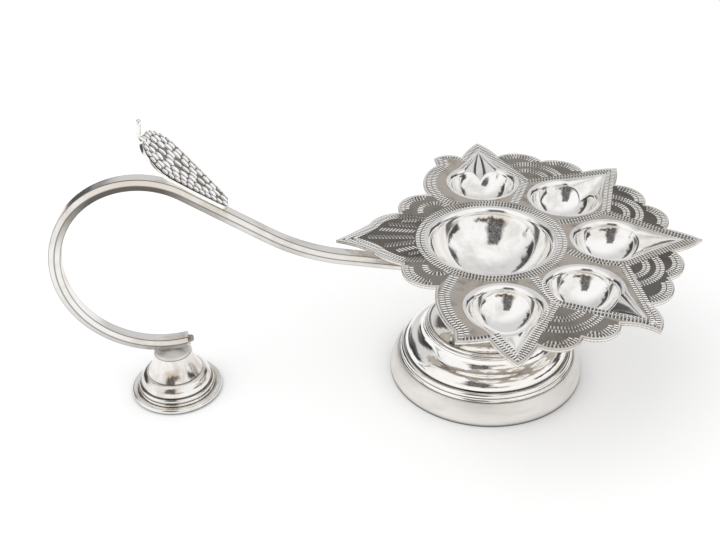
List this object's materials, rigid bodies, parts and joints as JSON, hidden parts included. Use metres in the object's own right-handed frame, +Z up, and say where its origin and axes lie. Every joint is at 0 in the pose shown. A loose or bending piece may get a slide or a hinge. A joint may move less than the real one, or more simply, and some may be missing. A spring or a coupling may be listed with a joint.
{
  "type": "aarti lamp",
  "caption": "Hand-held silver oil lamp: an engraved flower tray of wick bowls on a stepped round base, with a looped handle, a thumb leaf and a small bell foot.",
  "frame": {"origin": "on the floor under the centre of the round base", "axes": "+Z up, +X away from the handle, with the handle in the plane y = 0 on the -X side"},
  "size_m": [0.2473, 0.1582, 0.1199],
  "materials": {
    "polished_silver": "polished",
    "satin_silver": "satin",
    "engraved_silver": "oxidised ground with bright-cut engraving",
    "cast_silver": "cast relief, oxidised in the hollows"
  },
  "bodies": {
    "root": {"base_band": "satin_silver", "base_ogee": "polished_silver", "base_shoulder_ring": "polished_silver", "base_step_ring": "polished_silver", "bowl_seat": "polished_silver", "centre_bowl": "polished_silver", "foot_bell": "polished_silver", "foot_cap": "polished_silver", "foot_flange": "polished_silver", "foot_roll_ring": "polished_silver", "foot_step_ring": "polished_silver", "handle_bar": "satin_silver", "handle_end_plug": "satin_silver", "leaf_border_rings": "cast_silver", "leaf_midrib": "cast_silver", "leaf_tip_curl": "cast_silver", "pedestal_neck": "polished_silver", "thumb_leaf": "cast_silver", "tray_plate": "engraved_silver", "wick_bowl_1": "polished_silver", "wick_bowl_2": "polished_silver", "wick_bowl_3": "polished_silver", "wick_bowl_4": "polished_silver", "wick_bowl_5": "polished_silver"}
  },
  "joints": []
}
